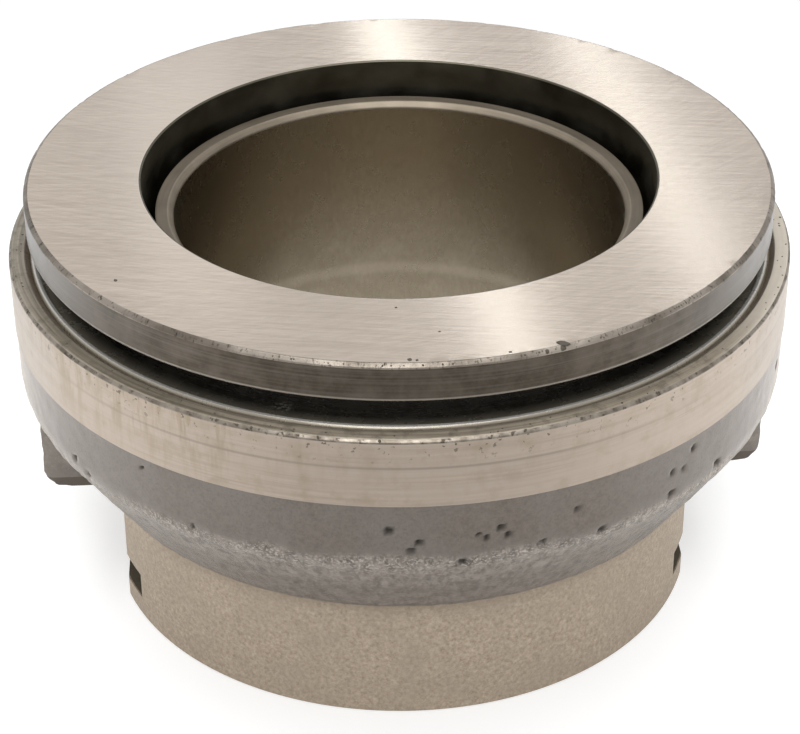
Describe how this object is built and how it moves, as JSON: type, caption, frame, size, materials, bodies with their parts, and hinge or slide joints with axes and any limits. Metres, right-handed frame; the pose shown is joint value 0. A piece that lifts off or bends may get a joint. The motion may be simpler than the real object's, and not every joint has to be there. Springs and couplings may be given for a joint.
{
  "type": "clutch release bearing",
  "caption": "Clutch release bearing: a cast hub with a guide bore, ears, flats and clip slots carries a ball bearing whose ground thrust face turns.",
  "frame": {"origin": "centre of the sleeve's lower end face, on the bearing's axis", "axes": "+Z along the bearing's axis towards the thrust face, +X through one ear"},
  "size_m": [0.0778, 0.0778, 0.044],
  "materials": {
    "cast_hub": "as cast, with a turned band, sleeve and bore",
    "ground_steel": "ground thrust face, fine straight lines",
    "race_steel": "polished raceway",
    "shield_steel": "dark pressed sheet with a bright edge",
    "cage_brass": "plain",
    "ball_steel": "polished"
  },
  "bodies": {
    "hub": {"hub": "cast_hub", "outer_race": "race_steel", "dust_shield": "shield_steel"},
    "face_ring": {"face_ring": "ground_steel"},
    "ball_cage": {"ball_cage": "cage_brass"},
    "ball_01": {"ball_01": "ball_steel"},
    "ball_02": {"ball_02": "ball_steel"},
    "ball_03": {"ball_03": "ball_steel"},
    "ball_04": {"ball_04": "ball_steel"},
    "ball_05": {"ball_05": "ball_steel"},
    "ball_06": {"ball_06": "ball_steel"},
    "ball_07": {"ball_07": "ball_steel"},
    "ball_08": {"ball_08": "ball_steel"},
    "ball_09": {"ball_09": "ball_steel"},
    "ball_10": {"ball_10": "ball_steel"},
    "ball_11": {"ball_11": "ball_steel"},
    "ball_12": {"ball_12": "ball_steel"},
    "ball_13": {"ball_13": "ball_steel"},
    "ball_14": {"ball_14": "ball_steel"},
    "ball_15": {"ball_15": "ball_steel"},
    "ball_16": {"ball_16": "ball_steel"},
    "ball_17": {"ball_17": "ball_steel"},
    "ball_18": {"ball_18": "ball_steel"}
  },
  "joints": [
    {"name": "face_spin", "type": "hinge", "parent": "hub", "child": "face_ring", "pos_m": [0, 0, 0.0402], "axis": [0, 0, 1], "continuous": true},
    {"name": "cage_turn", "type": "hinge", "parent": "hub", "child": "ball_cage", "pos_m": [0, 0, 0.02962], "axis": [0, 0, 1], "continuous": true},
    {"name": "ball_01_roll", "type": "hinge", "parent": "ball_cage", "child": "ball_01", "pos_m": [0.03117, 0, 0.02962], "axis": [0.6428, 0, 0.766], "continuous": true},
    {"name": "ball_02_roll", "type": "hinge", "parent": "ball_cage", "child": "ball_02", "pos_m": [0.02929, 0.01066, 0.02962], "axis": [0.604, 0.2198, 0.766], "continuous": true},
    {"name": "ball_03_roll", "type": "hinge", "parent": "ball_cage", "child": "ball_03", "pos_m": [0.02388, 0.02004, 0.02962], "axis": [0.4924, 0.4132, 0.766], "continuous": true},
    {"name": "ball_04_roll", "type": "hinge", "parent": "ball_cage", "child": "ball_04", "pos_m": [0.01558, 0.02699, 0.02962], "axis": [0.3214, 0.5567, 0.766], "continuous": true},
    {"name": "ball_05_roll", "type": "hinge", "parent": "ball_cage", "child": "ball_05", "pos_m": [0.00541, 0.0307, 0.02962], "axis": [0.1116, 0.633, 0.766], "continuous": true},
    {"name": "ball_06_roll", "type": "hinge", "parent": "ball_cage", "child": "ball_06", "pos_m": [-0.00541, 0.0307, 0.02962], "axis": [-0.1116, 0.633, 0.766], "continuous": true},
    {"name": "ball_07_roll", "type": "hinge", "parent": "ball_cage", "child": "ball_07", "pos_m": [-0.01558, 0.02699, 0.02962], "axis": [-0.3214, 0.5567, 0.766], "continuous": true},
    {"name": "ball_08_roll", "type": "hinge", "parent": "ball_cage", "child": "ball_08", "pos_m": [-0.02388, 0.02004, 0.02962], "axis": [-0.4924, 0.4132, 0.766], "continuous": true},
    {"name": "ball_09_roll", "type": "hinge", "parent": "ball_cage", "child": "ball_09", "pos_m": [-0.02929, 0.01066, 0.02962], "axis": [-0.604, 0.2198, 0.766], "continuous": true},
    {"name": "ball_10_roll", "type": "hinge", "parent": "ball_cage", "child": "ball_10", "pos_m": [-0.03117, 0, 0.02962], "axis": [-0.6428, 0, 0.766], "continuous": true},
    {"name": "ball_11_roll", "type": "hinge", "parent": "ball_cage", "child": "ball_11", "pos_m": [-0.02929, -0.01066, 0.02962], "axis": [-0.604, -0.2198, 0.766], "continuous": true},
    {"name": "ball_12_roll", "type": "hinge", "parent": "ball_cage", "child": "ball_12", "pos_m": [-0.02388, -0.02004, 0.02962], "axis": [-0.4924, -0.4132, 0.766], "continuous": true},
    {"name": "ball_13_roll", "type": "hinge", "parent": "ball_cage", "child": "ball_13", "pos_m": [-0.01558, -0.02699, 0.02962], "axis": [-0.3214, -0.5567, 0.766], "continuous": true},
    {"name": "ball_14_roll", "type": "hinge", "parent": "ball_cage", "child": "ball_14", "pos_m": [-0.00541, -0.0307, 0.02962], "axis": [-0.1116, -0.633, 0.766], "continuous": true},
    {"name": "ball_15_roll", "type": "hinge", "parent": "ball_cage", "child": "ball_15", "pos_m": [0.00541, -0.0307, 0.02962], "axis": [0.1116, -0.633, 0.766], "continuous": true},
    {"name": "ball_16_roll", "type": "hinge", "parent": "ball_cage", "child": "ball_16", "pos_m": [0.01558, -0.02699, 0.02962], "axis": [0.3214, -0.5567, 0.766], "continuous": true},
    {"name": "ball_17_roll", "type": "hinge", "parent": "ball_cage", "child": "ball_17", "pos_m": [0.02388, -0.02004, 0.02962], "axis": [0.4924, -0.4132, 0.766], "continuous": true},
    {"name": "ball_18_roll", "type": "hinge", "parent": "ball_cage", "child": "ball_18", "pos_m": [0.02929, -0.01066, 0.02962], "axis": [0.604, -0.2198, 0.766], "continuous": true}
  ],
  "couplings": [
    {"joint": "cage_turn", "follows": "face_spin", "ratio": 0.45613},
    {"joint": "ball_01_roll", "follows": "face_spin", "ratio": -4.3319},
    {"joint": "ball_02_roll", "follows": "face_spin", "ratio": -4.3319},
    {"joint": "ball_03_roll", "follows": "face_spin", "ratio": -4.3319},
    {"joint": "ball_04_roll", "follows": "face_spin", "ratio": -4.3319},
    {"joint": "ball_05_roll", "follows": "face_spin", "ratio": -4.3319},
    {"joint": "ball_06_roll", "follows": "face_spin", "ratio": -4.3319},
    {"joint": "ball_07_roll", "follows": "face_spin", "ratio": -4.3319},
    {"joint": "ball_08_roll", "follows": "face_spin", "ratio": -4.3319},
    {"joint": "ball_09_roll", "follows": "face_spin", "ratio": -4.3319},
    {"joint": "ball_10_roll", "follows": "face_spin", "ratio": -4.3319},
    {"joint": "ball_11_roll", "follows": "face_spin", "ratio": -4.3319},
    {"joint": "ball_12_roll", "follows": "face_spin", "ratio": -4.3319},
    {"joint": "ball_13_roll", "follows": "face_spin", "ratio": -4.3319},
    {"joint": "ball_14_roll", "follows": "face_spin", "ratio": -4.3319},
    {"joint": "ball_15_roll", "follows": "face_spin", "ratio": -4.3319},
    {"joint": "ball_16_roll", "follows": "face_spin", "ratio": -4.3319},
    {"joint": "ball_17_roll", "follows": "face_spin", "ratio": -4.3319},
    {"joint": "ball_18_roll", "follows": "face_spin", "ratio": -4.3319}
  ]
}
